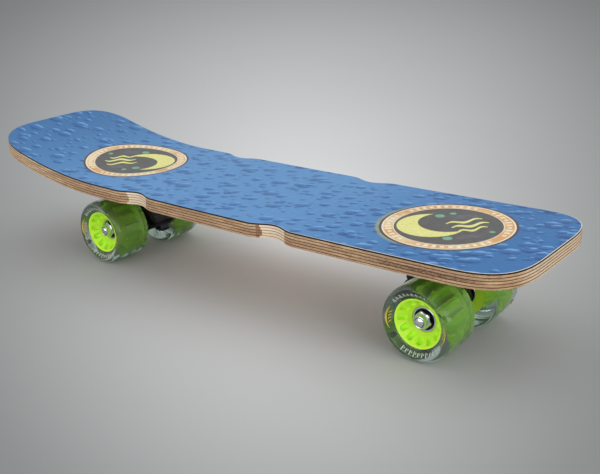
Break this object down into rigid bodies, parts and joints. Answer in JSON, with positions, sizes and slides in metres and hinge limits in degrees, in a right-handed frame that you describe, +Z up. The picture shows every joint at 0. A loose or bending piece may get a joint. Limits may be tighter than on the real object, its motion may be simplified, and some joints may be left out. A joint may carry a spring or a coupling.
{
  "type": "skateboard",
  "caption": "Short cruiser skateboard with a kicked tail, finger notches in its sides, narrow cast trucks and soft translucent wheels.",
  "frame": {"origin": "on the ground, under the middle of the deck's length and width", "axes": "+X towards the nose, +Y to the board's left, +Z up from the ground that the wheels stand on"},
  "size_m": [0.62, 0.16, 0.1294],
  "materials": {
    "plywood": "clear-coated maple plies",
    "printed_sheet": "satin printed sheet",
    "black_casting": "black powder coat on cast aluminium",
    "black_steel": "black oxide",
    "bright_steel": "bright zinc and ground steel",
    "black_urethane": "satin",
    "clear_urethane": "glossy, translucent grey green",
    "lime_plastic": "moulded neon lime"
  },
  "bodies": {
    "deck": {"deck_plywood": "plywood", "top_sheet": "printed_sheet", "bolt_front_1": "black_steel", "bolt_front_2": "black_steel", "bolt_front_3": "black_steel", "bolt_front_4": "black_steel", "riser_pad_front": "black_urethane", "baseplate_front": "black_casting", "pivot_cup_front": "black_urethane", "kingpin_front": "black_steel", "kingpin_nut_front": "black_steel", "bushing_upper_front": "black_urethane", "bushing_lower_front": "black_urethane", "washer_upper_front": "black_steel", "washer_lower_front": "black_steel", "bolt_rear_1": "black_steel", "bolt_rear_2": "black_steel", "bolt_rear_3": "black_steel", "bolt_rear_4": "black_steel", "riser_pad_rear": "black_urethane", "baseplate_rear": "black_casting", "pivot_cup_rear": "black_urethane", "kingpin_rear": "black_steel", "kingpin_nut_rear": "black_steel", "bushing_upper_rear": "black_urethane", "bushing_lower_rear": "black_urethane", "washer_upper_rear": "black_steel", "washer_lower_rear": "black_steel"},
    "hanger_front": {"hanger_front": "black_casting", "axle_front": "bright_steel", "spacer_front_left": "bright_steel", "speed_washer_front_left": "bright_steel", "axle_nut_front_left": "bright_steel", "spacer_front_right": "bright_steel", "speed_washer_front_right": "bright_steel", "axle_nut_front_right": "bright_steel"},
    "hanger_rear": {"hanger_rear": "black_casting", "axle_rear": "bright_steel", "spacer_rear_left": "bright_steel", "speed_washer_rear_left": "bright_steel", "axle_nut_rear_left": "bright_steel", "spacer_rear_right": "bright_steel", "speed_washer_rear_right": "bright_steel", "axle_nut_rear_right": "bright_steel"},
    "wheel_front_left": {"tyre_front_left": "clear_urethane", "core_front_left": "lime_plastic", "bearing_outer_front_left": "bright_steel", "bearing_inner_front_left": "bright_steel"},
    "wheel_front_right": {"tyre_front_right": "clear_urethane", "core_front_right": "lime_plastic", "bearing_outer_front_right": "bright_steel", "bearing_inner_front_right": "bright_steel"},
    "wheel_rear_left": {"tyre_rear_left": "clear_urethane", "core_rear_left": "lime_plastic", "bearing_outer_rear_left": "bright_steel", "bearing_inner_rear_left": "bright_steel"},
    "wheel_rear_right": {"tyre_rear_right": "clear_urethane", "core_rear_right": "lime_plastic", "bearing_outer_rear_right": "bright_steel", "bearing_inner_rear_right": "bright_steel"}
  },
  "joints": [
    {"name": "steer_front", "type": "hinge", "parent": "deck", "child": "hanger_front", "pos_m": [0.1915, 0, 0.04954], "axis": [-0.9277, 0, -0.3734], "range_deg": [-12, 12], "stiffness_Nm_per_rad": 40, "deforming": ["bushing_upper_front", "bushing_lower_front"]},
    {"name": "steer_rear", "type": "hinge", "parent": "deck", "child": "hanger_rear", "pos_m": [-0.14084, 0, 0.04835], "axis": [0.9108, 0, -0.4129], "range_deg": [-12, 12], "stiffness_Nm_per_rad": 40, "deforming": ["bushing_upper_rear", "bushing_lower_rear"]},
    {"name": "spin_front_left", "type": "hinge", "parent": "hanger_front", "child": "wheel_front_left", "pos_m": [0.21898, 0.0329, 0.0335], "axis": [0, 1, 0], "continuous": true},
    {"name": "spin_front_right", "type": "hinge", "parent": "hanger_front", "child": "wheel_front_right", "pos_m": [0.21898, -0.0329, 0.0335], "axis": [0, 1, 0], "continuous": true},
    {"name": "spin_rear_left", "type": "hinge", "parent": "hanger_rear", "child": "wheel_rear_left", "pos_m": [-0.16897, 0.0329, 0.0335], "axis": [0, 1, 0], "continuous": true},
    {"name": "spin_rear_right", "type": "hinge", "parent": "hanger_rear", "child": "wheel_rear_right", "pos_m": [-0.16897, -0.0329, 0.0335], "axis": [0, 1, 0], "continuous": true}
  ]
}
